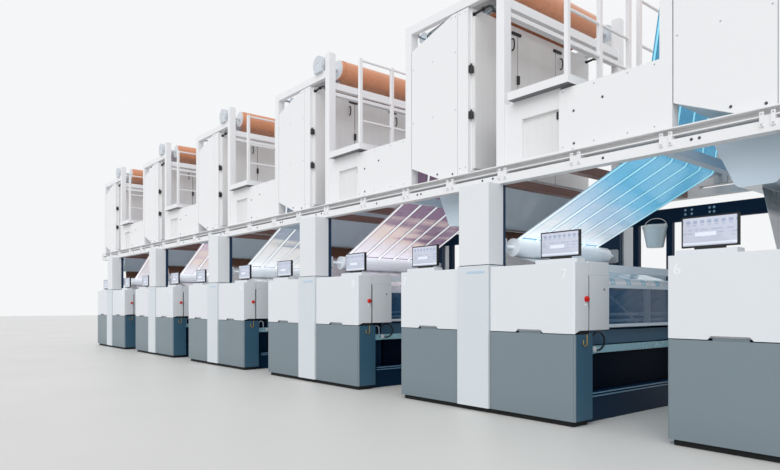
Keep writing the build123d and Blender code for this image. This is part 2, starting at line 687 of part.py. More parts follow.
# brackets for the fixed guide rollers, on the beams and on the posts
with BuildPart() as bracket_bay:
    block(TURN_X - 100, TURN_X + 100, BEAM_D + BEAM_W, BEAM_D + BEAM_W + BRACKET_T, RAIL_LOW,
          TURN_Z + 70)
    block(CORNER_X - 70, POST_X + POST_W, POST_BACK, POST_BACK + BRACKET_T, CORNER_Z - 80,
          CORNER_Z + 70)
    mirror(about=Plane.XZ)
with BuildPart() as bracket_end:
    block(CORNER_X + PITCH - 70, BAY_END + POST_W, POST_BACK, POST_BACK + BRACKET_T,
          CORNER_Z - 80, CORNER_Z + 70)
    mirror(about=Plane.XZ)

# bearings of the turning rollers: a ring on the top rail, a block on the upright's post
with BuildPart() as bearing_bay:
    with BuildSketch(front_plane(RING_D)):
        with Locations((TOP_X, TOP_Z)):
            Circle(RING_R)
        with Locations((TOP_X, (TOP_Z + TOP_RAIL_LOW + TOP_RAIL_H) / 2)):
            Rectangle(RING_R * 1.6, TOP_Z - TOP_RAIL_LOW - TOP_RAIL_H)
        with Locations((TOP_X, TOP_Z)):
            Circle(TOP_SHAFT_R + FIT, mode=Mode.SUBTRACT)
    extrude(amount=-RING_T)
    with BuildSketch(front_plane(PILLAR_POST_END)):
        with Locations((LEAD_X, LEAD_Z)):
            RectangleRounded(LEAD_BLOCK_W, LEAD_BLOCK_H, 30)
            Circle(LEAD_SHAFT_R + FIT, mode=Mode.SUBTRACT)
    extrude(amount=-LEAD_BLOCK_T)
    mirror(about=Plane.XZ)
with BuildPart() as roller_supports:
    with Locations(*BAYS):
        add(bracket_bay.part)
        add(bearing_bay.part)
    with Locations(BAYS[0]):
        add(bracket_end.part)
write(roller_supports, "roller_supports")

for i, x in enumerate(UNIT_X, 1):
    with BuildPart() as top_roller:
        roller(x + TOP_X, TOP_Z, TOP_R, TOP_HALF, TOP_SHAFT_R, HALF - RING_D - 10)
    write(top_roller, "top_roller_" + str(i))
    with BuildPart() as lead_roller:
        roller(x + LEAD_X, LEAD_Z, LEAD_R, LEAD_HALF, LEAD_SHAFT_R,
               HALF - PILLAR_POST_END - 10)
    write(lead_roller, "lead_roller_" + str(i))

# Pieces: print station
with BuildPart() as impression_bay:
    roller(COUPLE_X, NIP_Z + FIXED + IMPRESSION_R, IMPRESSION_R, WEB_HALF + GUIDE_LAP,
           GUIDE_SHAFT_R * 2, HALF - SIDE_COVER_END)
with BuildPart() as impression_cylinders:
    with Locations(*BAYS):
        add(impression_bay.part)
write(impression_cylinders, "impression_cylinders")

PLATE_Z = NIP_Z - FIXED - PLATE_R
INK_Z = PLATE_Z - math.sqrt((PLATE_R + INK_R + SEAT) ** 2 - (INK_X - COUPLE_X) ** 2)
with BuildPart() as couple_bay:
    roller(COUPLE_X, PLATE_Z, PLATE_R, WEB_HALF + GUIDE_LAP, GUIDE_SHAFT_R * 2, HALF - SIDE_COVER_END)
    roller(INK_X, INK_Z, INK_R, WEB_HALF + GUIDE_LAP, GUIDE_SHAFT_R * 2, HALF - SIDE_COVER_END)
with BuildPart() as print_cylinders:
    with Locations(*BAYS):
        add(couple_bay.part)
write(print_cylinders, "print_cylinders")

TRAY_D = SIDE_COVER_END
with BuildPart() as tray_bay:
    with BuildSketch(Plane.XZ):
        with BuildLine():
            Polyline((TRAY_X0, TRAY_TOP), (TRAY_X0 + TRAY_SLOPE, TRAY_LOW),
                     (TRAY_X1 - TRAY_SLOPE, TRAY_LOW), (TRAY_X1, TRAY_TOP),
                     (TRAY_X1 - TRAY_WALL, TRAY_TOP),
                     (TRAY_X1 - TRAY_SLOPE - TRAY_WALL / 2, TRAY_LOW + TRAY_WALL),
                     (TRAY_X0 + TRAY_SLOPE + TRAY_WALL / 2, TRAY_LOW + TRAY_WALL),
                     (TRAY_X0 + TRAY_WALL, TRAY_TOP), close=True)
        make_face()
    extrude(amount=HALF - TRAY_D, both=True)
    # its end shelves reach past the side frames
    for side in (-1, 1):
        with Locations(((FRAME_RIGHT + TRAY_X1) / 2 + PANEL_GAP, side * (HALF - (TRAY_D + SHELF_D) / 2),
                        (TRAY_LOW + TRAY_TOP) / 2)):
            Box(TRAY_X1 - FRAME_RIGHT, TRAY_D - SHELF_D, TRAY_TOP - TRAY_LOW)
with BuildPart() as ink_trays:
    with Locations(*BAYS):
        add(tray_bay.part)
write(ink_trays, "ink_trays")

# under the tray: a trolley on four wheels
with BuildPart() as trolley_bay:
    block(TROLLEY_X0, TROLLEY_X1, SIDE_COVER_END + TROLLEY_IN, DEPTH - SIDE_COVER_END - TROLLEY_IN,
          TROLLEY_LOW, TRAY_LOW)
    for x in (TROLLEY_X0 + 2 * WHEEL_R, TROLLEY_X1 - 2 * WHEEL_R):
        for y in (SIDE_COVER_END - HALF + 4 * TROLLEY_IN, HALF - SIDE_COVER_END - 4 * TROLLEY_IN):
            with BuildSketch(Plane.XZ.offset(-y)) as wheel:
                with Locations((x, WHEEL_R)):
                    Circle(WHEEL_R)
            extrude(wheel.sketch, amount=WHEEL_W / 2, both=True)
            with Locations((x, y, (WHEEL_R + TROLLEY_LOW) / 2)):
                Box(WHEEL_R, WHEEL_W * 1.6, TROLLEY_LOW - WHEEL_R)
with BuildPart() as ink_trolleys:
    with Locations(*BAYS):
        add(trolley_bay.part)
write(ink_trolleys, "ink_trolleys")

# floor sills, the closed blade chamber beside the ink roller, and on the far side the
# header beam from upright to upright with its two posts
FAR_HEADER_D = DEPTH - HEADER_D - HEADER_W
with BuildPart() as beam_bay:
    block(SILL_X, SILL_X + SILL_W, LOW_DEPTH, DEPTH - LOW_DEPTH, 0, SILL_H)
    block(-CAB_LEFT_W + FRAME_LOW_IN, -CAB_LEFT_W + FRAME_LOW_IN + SILL_W, SIDE_COVER_END,
          DEPTH - SIDE_COVER_END, 0, SILL_H)
    with BuildSketch(Plane.XZ):
        with BuildLine():
            Polyline((BLADE_X0, INK_Z), (BLADE_X0 + 60, BLADE_TOP), (BLADE_X1, BLADE_TOP),
                     (BLADE_X1, BLADE_LOW), (BLADE_X0 + 60, BLADE_LOW), close=True)
        make_face()
    extrude(amount=HALF - SIDE_COVER_END, both=True)
    for x in HEADER_POSTS:
        block(x - HEADER_POST_W / 2, x + HEADER_POST_W / 2, FAR_HEADER_D, FAR_HEADER_D + HEADER_W,
              SIDE_COVER_TOP, HEADER_LOW)
with BuildPart() as header_bay:
    block(PILLAR_W - PILLAR_POST_INSET, PITCH + PILLAR_POST_INSET, FAR_HEADER_D,
          FAR_HEADER_D + HEADER_W, HEADER_LOW, HEADER_LOW + HEADER_H)
with BuildPart() as header_end:
    block(PILLAR_W - PILLAR_POST_INSET, CAB_END, FAR_HEADER_D, FAR_HEADER_D + HEADER_W,
          HEADER_LOW, HEADER_LOW + HEADER_H)
with BuildPart() as station_beams:
    with Locations(*BAYS):
        add(beam_bay.part)
    with Locations(*BAYS[1:]):
        add(header_bay.part)
    with Locations(BAYS[0]):
        add(header_end.part)
write(station_beams, "station_beams")

# the tie bar over the gap, and the frame of the clear guard
with BuildPart() as guard_frame_bay:
    block(TIE_BAR_X, TIE_BAR_X + TIE_BAR_W, SIDE_COVER_END, DEPTH - SIDE_COVER_END, TIE_BAR_LOW,
          TIE_BAR_LOW + TIE_BAR_H)
    for z in (GUARD_PANE_LOW - GUARD_BAR, GUARD_PANE_TOP):
        block(GUARD_PANE_X - GUARD_BAR / 2, GUARD_PANE_X + GUARD_BAR / 2, SIDE_COVER_END,
              DEPTH - SIDE_COVER_END, z, z + GUARD_BAR)
    block(GUARD_PANE_X - GUARD_BAR, GUARD_PANE_X, GUARD_MID_D, GUARD_MID_D + GUARD_MID_W,
          GUARD_PANE_LOW, GUARD_PANE_TOP)
with BuildPart() as guard_frames:
    with Locations(*BAYS):
        add(guard_frame_bay.part)
write(guard_frames, "guard_frames")

with BuildPart() as pane_bay:
    block(GUARD_PANE_X, GUARD_PANE_X + PANE_T, SIDE_COVER_END, DEPTH - SIDE_COVER_END,
          GUARD_PANE_LOW, GUARD_PANE_TOP)
with BuildPart() as print_guards:
    with Locations(*BAYS):
        add(pane_bay.part)
write(print_guards, "print_guards")

# Pieces: screens and stop buttons
with BuildPart() as screen_bay:
    for x in SCREENS:
        block(x - MON_W / 2, x + MON_W / 2, MON_D, MON_D + MON_T, MON_Z, MON_Z + MON_H)
        block(x - RISER_W / 4, x + RISER_W / 4, MON_D, MON_D + MON_T, COVER_TOP + RISER_H, MON_Z)
with BuildPart() as screens:
    with Locations(*BAYS):
        add(screen_bay.part)
write(screens, "screens")

with BuildPart() as riser_bay:
    for x in SCREENS:
        block(x - RISER_W / 2, x + RISER_W / 2, MON_D - RISER_D / 2, MON_D + RISER_D / 2,
              COVER_TOP, COVER_TOP + RISER_H)
with BuildPart() as screen_bases:
    with Locations(*BAYS):
        add(riser_bay.part)
write(screen_bases, "screen_bases")

with BuildPart() as stop_bay:
    with BuildSketch(Plane.YZ.offset(CAB_END)):
        with Locations((STOP_Y - HALF, STOP_Z)):
            Circle(STOP_R)
    extrude(amount=STOP_T)
with BuildPart() as stop_buttons:
    with Locations(*BAYS):
        add(stop_bay.part)
write(stop_buttons, "stop_buttons")
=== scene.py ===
"""Finishes, webs, fittings and a plain studio for the printing press line."""

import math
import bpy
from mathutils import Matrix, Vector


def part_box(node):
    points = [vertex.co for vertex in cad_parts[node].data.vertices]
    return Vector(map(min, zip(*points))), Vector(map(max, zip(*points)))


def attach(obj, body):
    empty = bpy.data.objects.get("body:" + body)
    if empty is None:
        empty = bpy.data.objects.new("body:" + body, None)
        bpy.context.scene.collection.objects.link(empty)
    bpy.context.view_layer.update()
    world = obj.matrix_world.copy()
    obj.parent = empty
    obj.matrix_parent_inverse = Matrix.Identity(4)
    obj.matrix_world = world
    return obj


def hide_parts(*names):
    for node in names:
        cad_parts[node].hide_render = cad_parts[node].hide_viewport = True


bl_info = {
    "name": "Printing Press Line",
    "version": (1, 0, 0),
    "blender": (4, 5, 0),
    "location": "View3D > Sidebar > Press",
    "description": "Dresses a row of printing units and sets up a studio round it",
    "category": "Add Mesh",
}

import bmesh
import bpy
import numpy as np

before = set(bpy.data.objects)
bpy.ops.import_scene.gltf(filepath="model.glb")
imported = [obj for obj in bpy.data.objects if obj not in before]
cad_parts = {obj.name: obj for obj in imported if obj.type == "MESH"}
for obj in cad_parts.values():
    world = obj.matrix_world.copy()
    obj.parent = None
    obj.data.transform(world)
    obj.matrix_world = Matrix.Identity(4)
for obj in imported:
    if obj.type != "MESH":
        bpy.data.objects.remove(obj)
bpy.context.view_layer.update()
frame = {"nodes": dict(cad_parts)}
NODES = frame["nodes"]
BODY = "press_frame"

UNITS = 6
PITCH = 4.5
HALF = 1.95                     # cabinet front to the line's middle
FIRST_NUMBER = 6                # the number of the unit at the photograph's right edge
# a bay's x starts at its upright's left edge, 0.255 m left of its top roller
BAY_X = [sum(v.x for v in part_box(f"top_roller_{i + 1}")) / 2 - 0.255 for i in range(UNITS)]
CORNER = -1.59                  # a bay's corner roller, where its web's way down ends
WEB_START = BAY_X[-1] + CORNER
FACE = 0.33                     # depth of the frame's and panels' plane
DOOR_X = -0.05                  # face of the dryer doors
COVER_END = 2.002               # the side covers' right face, with its locks and buttons
CLAMPS = (-1.45, -0.40, 0.65, 1.86)
ALONG, ACROSS, UP, FRONT = (1, 0, 0), (0, 1, 0), (0, 0, 1), (0, -1, 0)


# Materials
class Wire:
    """One output of a material's node. Signs between wires and numbers add Math nodes."""

    def __init__(self, tree, socket=None):
        self.tree, self.socket = tree, socket

    def node(self, kind, settings, sockets, out=0):
        """Adds a node: its settings first, then the values or wires of its sockets."""
        made = self.tree.nodes.new(kind)
        for key, value in settings.items():
            if key == "stops":
                for spare in list(made.color_ramp.elements)[1:]:
                    made.color_ramp.elements.remove(spare)
                for i, (where, shade) in enumerate(value):
                    stop = made.color_ramp.elements[0] if i == 0 else made.color_ramp.elements.new(where)
                    stop.position, stop.color = where, shade
            elif key == "interpolation":
                made.color_ramp.interpolation = value
            else:
                setattr(made, key, value)
        for key, value in sockets.items():
            if isinstance(value, Wire):
                self.tree.links.new(value.socket, made.inputs[key])
            else:
                made.inputs[key].default_value = value
        return Wire(self.tree, made.outputs[out])

    def math(self, operation, *values):
        return self.node("ShaderNodeMath", {"operation": operation}, dict(enumerate(values)))

    def fraction(self):
        return self.math("FRACT", self)

    def larger(self, other):
        return self.math("MAXIMUM", self, other)

    def away(self):
        """How far this number is from zero."""
        return self.math("ABSOLUTE", self)

    def __add__(self, other):
        return self.math("ADD", self, other)

    def __sub__(self, other):
        return self.math("SUBTRACT", self, other)

    def __rsub__(self, other):
        return self.math("SUBTRACT", other, self)

    def __mul__(self, other):
        return self.math("MULTIPLY", self, other)

    def __truediv__(self, other):
        return self.math("DIVIDE", self, other)

    def __gt__(self, other):
        return self.math("GREATER_THAN", self, other)

    def __lt__(self, other):
        return self.math("LESS_THAN", self, other)

    __radd__, __rmul__ = __add__, __mul__

    def near(self, value, reach):
        """1 within reach of the value and 0 elsewhere."""
        return self.math("COMPARE", self, value, reach)

    def ease(self, low, high):
        """0 below low, 1 above high and a smooth rise between."""
        return self.node("ShaderNodeMapRange", {"interpolation_type": "SMOOTHSTEP"},
                         {"Value": self, "From Min": low, "From Max": high})

    def cloud(self, scale, detail=2.0, stretch=(1, 1, 1)):
        """Noise over this wire's place, drawn out along the axes by stretch."""
        place = self.node("ShaderNodeVectorMath", {"operation": "MULTIPLY"}, {0: self, 1: stretch})
        return self.node("ShaderNodeTexNoise", {}, {"Vector": place, "Scale": scale, "Detail": detail})

    def blend(self, first, second):
        """The first colour where this wire is 0 and the second where it is 1."""
        return self.node("ShaderNodeMix", {"data_type": "RGBA"}, {0: self, 6: first, 7: second}, 2)

    def scaled(self, level):
        """This colour made lighter or darker by a level."""
        return self.node("ShaderNodeVectorMath", {"operation": "SCALE"}, {0: self, "Scale": level})

    def bump(self, strength, distance):
        return self.node("ShaderNodeBump", {}, {"Height": self, "Strength": strength,
                                                "Distance": distance})

    def axes(self):
        return [self.node("ShaderNodeSeparateXYZ", {}, {0: self}, i) for i in range(3)]

    def place(self):
        """The place in the object's mesh, which at rest is the place in the frame."""
        return self.node("ShaderNodeTexCoord", {}, {}, "Object")

    def normal(self):
        return self.node("ShaderNodeNewGeometry", {}, {}, "Normal")


def tint(red, green, blue):
    """A colour as it looks on a screen, turned into the linear one that nodes read."""
    return tuple(np.power([red, green, blue], 2.2).tolist()) + (1.0,)


def shade(colour, level):
    """A linear colour made lighter or darker, and kept under full white."""
    return tuple(min(c * level, 0.97) for c in colour[:3]) + (1.0,)


def finish(name, recipe, **fixed):
    """A material: what the recipe returns for the object's place is linked, the rest is set."""
    material = bpy.data.materials.new(name)
    material.use_nodes = True
    tree = material.node_tree
    shader = tree.nodes["Principled BSDF"]
    for key, value in fixed.items():
        shader.inputs[key.replace("_", " ")].default_value = value
    for key, wire in recipe(Wire(tree).place()).items():
        tree.links.new(wire.socket, shader.inputs[key])
    return material


def paint(name, colour, rough=0.36, foot=0.0, patch=0.05, **fixed):
    """Sheet steel with a satin powder coat: soft patches, a fine skin, darker and rougher towards the
    floor.
    """

    def coat(place):
        soft = place.cloud(0.9, 3.0)
        fine = place.cloud(310.0, 1.0)
        wiped = place.cloud(2.2, 4.0, (1, 1, 0.25))
        low = (1.0 - place.axes()[2].ease(0.0, 0.45)) * foot
        dull = soft * patch + wiped * patch * 0.6 + low
        return {"Base Color": dull.blend(colour, shade(colour, 0.62)),
                "Roughness": rough + (soft - 0.5) * 0.14 + low * 0.4,
                "Normal": fine.bump(0.06, 0.0006)}

    return finish(name, coat, **fixed)


def metal(name, colour, rough, along=(1, 1, 1)):
    """Turned or drawn metal: fine lines across the axis it was worked along."""

    def worked(place):
        lines = place.cloud(90.0, 3.0, along)
        soft = place.cloud(1.7, 3.0)
        return {"Base Color": (lines * 0.5 + soft * 0.5).blend(colour, shade(colour, 0.72)),
                "Roughness": rough + (lines - 0.5) * 0.24 + soft * 0.08,
                "Normal": lines.bump(0.08, 0.0005)}

    return finish(name, worked, Metallic=1.0)


def partly(material, colour, where):
    """Gives a paint another colour where the place in the object says so."""
    tree = material.node_tree
    base = tree.nodes["Principled BSDF"].inputs["Base Color"]
    top = Wire(tree, base.links[0].from_socket)
    tree.links.new(where(top).blend(top, colour).socket, base)
    return material


# faces that look down, where the catwalk edges get a painted shade
def facing_down(wire):
    return wire.normal().axes()[2] < -0.7


def tray_height_sheen(wire):
    """The station's beams at the height of the ink tray, which get a painted reflection: a lighter blue.
    """
    return wire.place().axes()[2].near(1.1, 0.2)


def bay_and_x(x):
    """The bay's place in the row from the left, and the x in that bay."""
    run = (x - WEB_START) / PITCH
    bay = run.math("FLOOR", run)
    return bay, (run - bay) * PITCH + CORNER


def at_bay_end(wire):
    """The cross beam by the corner roller, the first one of each bay."""
    return bay_and_x(wire.place().axes()[0])[1] < CORNER + 0.3


def dress(material, *names):
    """Puts a material on CAD nodes through their objects' own material slots."""
    for name in names:
        for holder in NODES[name].material_slots:
            holder.material = material


# Surfaces
def closed_grid(rows, cols):
    """The quads of a grid whose columns meet round a section."""
    r, c = np.meshgrid(np.arange(rows - 1), np.arange(cols), indexing="ij")
    a, b = r * cols + c, r * cols + (c + 1) % cols
    return np.stack([a, b, b + cols, a + cols], -1).reshape(-1, 4)


def lathe(centre, axis, profile, sides):
    """A turned shape, closed at both ends: radius and height run along the profile, the angle
    round the axis."""
    axis = np.array(axis, float)
    across = np.cross(axis, (0.3, 0.5, 0.81))
    across /= np.linalg.norm(across)
    up = np.cross(axis, across)
    radius, height = np.array(profile, float).T
    angle = np.linspace(0, 2 * math.pi, sides, endpoint=False)
    ring = np.cos(angle)[:, None] * across + np.sin(angle)[:, None] * up
    points = radius[:, None, None] * ring + height[:, None, None] * axis + np.array(centre, float)
    return close_ends(points.reshape(-1, 3), sides)


def plate(centre, u, v, size, rims, corner, steps=4):
    """A pad or plate, closed at both ends: a rounded rectangle in u and v, drawn in by each rim's
    inset at its height."""
    u, v = np.array(u, float), np.array(v, float)
    out = np.cross(u, v)
    half_u, half_v = size[0] / 2, size[1] / 2
    radius = corner * min(half_u, half_v)
    angle = np.linspace(0, math.pi / 2, steps)
    quarter = np.stack([np.cos(angle), np.sin(angle)], -1)
    turns = [quarter, quarter[:, ::-1] * (-1, 1), -quarter, quarter[:, ::-1] * (1, -1)]
    signs = np.array([(1, 1), (-1, 1), (-1, -1), (1, -1)], float)
    core = np.array([half_u - radius, half_v - radius])
    rows = []
    for inset, height in rims:
        reach = max(radius - inset, 1e-5)
        side = np.concatenate([s * (core - max(inset - radius, 0)) + t * reach
                               for s, t in zip(signs, turns)])
        rows.append(side[:, :1] * u + side[:, 1:] * v + out * height)
    return close_ends(np.concatenate(rows) + np.array(centre, float), 4 * steps)


def arc(centre, u, v, start, stop, steps):
    """Points of a bend: the angle's cosine along u plus its sine along v, in degrees."""
    angle = np.radians(np.linspace(start, stop, steps))[:, None]
    return np.array(centre) + np.cos(angle) * u + np.sin(angle) * v


def route(*stretches):
    """One path from single points and bends."""
    return np.concatenate([np.atleast_2d(stretch) for stretch in stretches])


def sweep(path, radius, sides=8):
    """A bar: a circle carried along a path, square to it, and closed at both ends."""
    path = np.array(path, float)
    along = np.gradient(path, axis=0)
    along /= np.linalg.norm(along, axis=1, keepdims=True)
    across = np.cross(along, (0.13, 0.21, 0.97))
    across /= np.linalg.norm(across, axis=1, keepdims=True)
    up = np.cross(along, across)
    angle = np.linspace(0, 2 * math.pi, sides, endpoint=False)
    ring = np.cos(angle)[:, None] * across[:, None] + np.sin(angle)[:, None] * up[:, None]
    tube = path[:, None] + ring * radius
    return close_ends(tube.reshape(-1, 3), sides)


def close_ends(points, cols):
    """A shape whose first and last ring are drawn together into a flat end."""
    first, last = points[:cols], points[-cols:]
    points = np.concatenate([np.tile(first.mean(0), (cols, 1)), points,
                             np.tile(last.mean(0), (cols, 1))])
    return points, closed_grid(len(points) // cols, cols)


def in_every_bay(shapes, both=False, bays=None):
    """The same shapes in each bay, and turned over on the far side where both sides have them."""
    made = []
    for points, faces in shapes:
        for x in bays or BAY_X:
            near = points + (x, -HALF, 0)
            made.append((near, faces))
            if both:
                made.append((near * (1, -1, 1), faces[:, ::-1]))
    return made


def build(name, shapes, material):
    """One piece from many shapes: merged at poles, faces turned outward, riding on the frame."""
    start, verts, faces = 0, [], []
    for points, sides in shapes:
        verts.append(points)
        faces += ([[i + start for i in side] for side in sides] if isinstance(sides, list)
                  else (sides + start).tolist())
        start += len(points)
    mesh = bpy.data.meshes.new(name)
    mesh.from_pydata(np.concatenate(verts), [], faces)
    work = bmesh.new()
    work.from_mesh(mesh)
    bmesh.ops.remove_doubles(work, verts=work.verts, dist=1e-5)
    bmesh.ops.recalc_face_normals(work, faces=work.faces)
    work.to_mesh(mesh)
    work.free()
    mesh.shade_smooth()
    mesh.set_sharp_from_angle(angle=math.radians(35))
    mesh.materials.append(material)
    made = bpy.data.objects.new(name, mesh)
    bpy.context.scene.collection.objects.link(made)
    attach(made, BODY)
    return made


def block(centre, u, v, size, height, edge=0.003):
    """A closed plate of one height with its outer rim rounded over."""
    rims = [(0, 0), (0, height - edge), (edge * 0.3, height - edge * 0.3), (edge, height)]
    return plate(centre, u, v, size, rims, 0.15)


def bolt(centre, size):
    """A hexagon head on a washer, on a face that looks to the front."""
    head = [(1.5, 0), (1.5, 0.25), (1, 0.25), (1, 0.85), (0.8, 1)]
    return lathe(centre, FRONT, np.array(head) * size, 6)


# Settings
def colour(name, about, value):
    return bpy.props.FloatVectorProperty(name=name, description=about, size=4, min=0, max=1,
                                         subtype="COLOR", default=value)


def length(name, about, value):
    return bpy.props.FloatProperty(name=name, description=about, default=value, unit="LENGTH")


class PressPaints(bpy.types.PropertyGroup):
    """Colours of the press."""
    cover: colour("Cover", "Front and side covers", tint(0.865, 0.875, 0.885))
    cabinet: colour("Cabinet", "Lower cabinets", tint(0.465, 0.515, 0.540))
    upright: colour("Upright", "Uprights between the cabinets", tint(0.82, 0.842, 0.855))
    tower: colour("Tower", "Dryer towers, posts and rails", tint(0.915, 0.912, 0.912))
    door: colour("Door", "Dryer doors and hatches", tint(0.94, 0.935, 0.93))
    side: colour("Cabinet side", "Dark bodies behind the cabinets' panels", tint(0.22, 0.36, 0.44))
    frame: colour("Frame", "Side frames and beams of the station", tint(0.02, 0.16, 0.255))
    joint: colour("Joint", "Dark joints and plinths", tint(0.07, 0.08, 0.09))
    reverse: colour("Web reverse", "The web's unprinted side", tint(0.84, 0.56, 0.41))


class PressFittings(bpy.types.PropertyGroup):
    """Sizes of the small fittings."""
    hinge_height: length("Hinge height", "Length of a door hinge", 0.14)
    bolt_size: length("Bolt size", "Half the width of a bolt head", 0.012)


class PressStudio(bpy.types.PropertyGroup):
    """Light and floor."""
    floor: colour("Floor", "Colour of the floor", tint(0.86, 0.85, 0.83))
    key: bpy.props.FloatProperty(name="Key", description="Strength of the soft key lamp",
                                 default=1.35, min=0)
    low: bpy.props.FloatProperty(name="Low", description="Strength of the low lamp at the right",
                                 default=0.85, min=0)
    fill: bpy.props.FloatProperty(name="Fill", description="Strength of the light all round",
                                  default=0.74, min=0)


# Operators
class PRESS_OT_cabinets(bpy.types.Operator):
    """Paint the cabinets and add their feet, seams and locks"""
    bl_idname = "press.cabinets"
    bl_label = "Cabinets"

    def execute(self, context):
        paints = context.scene.press_paints
        blue = tuple(paints.frame)
        dress(paint("cover_paint", tuple(paints.cover), 0.34, patch=0.03),
              "front_covers", "side_covers")
        dress(paint("cabinet_paint", tuple(paints.cabinet), 0.42, foot=0.16, patch=0.07),
              "lower_cabinets")
        dress(paint("side_paint", tuple(paints.side), 0.45, foot=0.2, patch=0.12), "cabinet_bodies")
        dress(paint("frame_paint", blue, 0.5, foot=0.05, patch=0.2, Specular_IOR_Level=0.15),
              "side_frames")
        station = paint("station_paint", blue, 0.45, patch=0.2, Specular_IOR_Level=0.15)
        # painted reflection: the station's beams are a lighter blue at the tray's height
        dress(partly(station, tint(0.36, 0.50, 0.60), tray_height_sheen), "station_beams")
        dress(paint("trolley_paint", tint(0.0, 0.085, 0.15), 0.6, foot=0.02, patch=0.2,
                    Specular_IOR_Level=0.05), "ink_trolleys")
        dress(paint("joint_paint", tuple(paints.joint), 0.7, foot=0.3),
              "cabinet_joints", "base_skirts")

        foot_x, foot_depths = -1.29, (0.12, 0.3)
        foot = [(0.055, 0), (0.055, 0.01), (0.03, 0.02), (0.012, 0.026), (0.012, 0.07)]
        feet = [lathe((foot_x, depth, 0), UP, foot, 20) for depth in foot_depths]
        build("levelling_feet", in_every_bay(feet, both=True),
              metal("foot_zinc", tint(0.80, 0.82, 0.84), 0.4))
        seam = block((COVER_END - 0.002, 0.56, 1.919), ACROSS, UP, (0.43, 0.006), 0.0015, 0.0005)
        build("cover_seams", in_every_bay([seam], both=True),
              paint("seam_grey", tint(0.45, 0.47, 0.49)))
        profile = [(0.017, 0), (0.017, 0.004), (0.013, 0.007), (0.004, 0.007), (0.004, 0.004)]
        lock = lathe((COVER_END, 0.663, 1.736), ALONG, profile, 16)
        build("cover_locks", in_every_bay([lock], both=True),
              metal("lock_steel", tint(0.6, 0.62, 0.65), 0.3))
        return {"FINISHED"}


class PRESS_OT_numbers(bpy.types.Operator):
    """Number the units in pale figures on their covers"""
    bl_idname = "press.numbers"
    bl_label = "Unit numbers"

    def execute(self, context):
        height, thick, foot = 0.185, 0.0008, 1.863
        right_cover, left_cover = 1.845, -1.216
        shapes = []
        for i, bay in enumerate(BAY_X):
            curve = bpy.data.curves.new("figure", "FONT")
            curve.body, curve.size, curve.extrude = str(FIRST_NUMBER + i), height, thick
            curve.resolution_u, curve.align_x = 3, "CENTER"
            holder = bpy.data.objects.new("figure", curve)
            mesh = bpy.data.meshes.new_from_object(holder)
            flat = np.array([v.co for v in mesh.vertices])
            faces = [list(f.vertices) for f in mesh.polygons]
            # the figure stands up in the cover's face: its own x stays and its y becomes height
            upright = np.stack([flat[:, 0], -flat[:, 2], flat[:, 1]], -1)
            for x in (right_cover, left_cover):
                shapes.append((upright + (bay + x, -HALF - thick, foot), faces))
            bpy.data.objects.remove(holder)
            bpy.data.curves.remove(curve)
        build("unit_numbers", shapes, paint("number_white", tint(0.925, 0.932, 0.94), 0.3, patch=0.02))
        return {"FINISHED"}


class PRESS_OT_uprights(bpy.types.Operator):
    """Paint the uprights between the cabinets and add their joints and pulls"""
    bl_idname = "press.uprights"
    bl_label = "Uprights"

    def execute(self, context):
        paints = context.scene.press_paints
        dress(paint("upright_paint", tuple(paints.upright), 0.36, patch=0.04), "pillar_covers")
        dress(paint("box_paint", tint(0.875, 0.88, 0.885), 0.36, patch=0.04), "pillar_boxes")
        dress(paint("bar_paint", tint(0.93, 0.97, 1.0), 0.34, patch=0.08), "guard_frames")
        dress(paint("post_paint", shade(tuple(paints.frame), 1.6), 0.5, patch=0.1), "pillar_posts")
        # the joint between the lower cover and the upper box, on the front and on the right side
        joint_height, joint_width = 2.107, 0.012
        joints = [block((0.303, 0.001, joint_height), ALONG, UP, (0.578, joint_width), 0.002, 0.0005),
                  block((0.593, 0.155, joint_height), ACROSS, UP, (0.30, joint_width), 0.002, 0.0005)]
        build("upright_joints", in_every_bay(joints, both=True),
              paint("joint_black", tint(0.12, 0.14, 0.16), 0.6))
        rims = [(0, 0), (0, 0.002), (0.003, 0.004), (0.008, 0.004), (0.011, 0.0015)]
        pull = plate((0.367, -0.025, 2.005), ALONG, UP, (0.35, 0.034), rims, 1.0, 8)
        build("upright_pulls", in_every_bay([pull], both=True),
              paint("pull_blue", tint(0.72, 0.80, 0.87), 0.3))
        return {"FINISHED"}


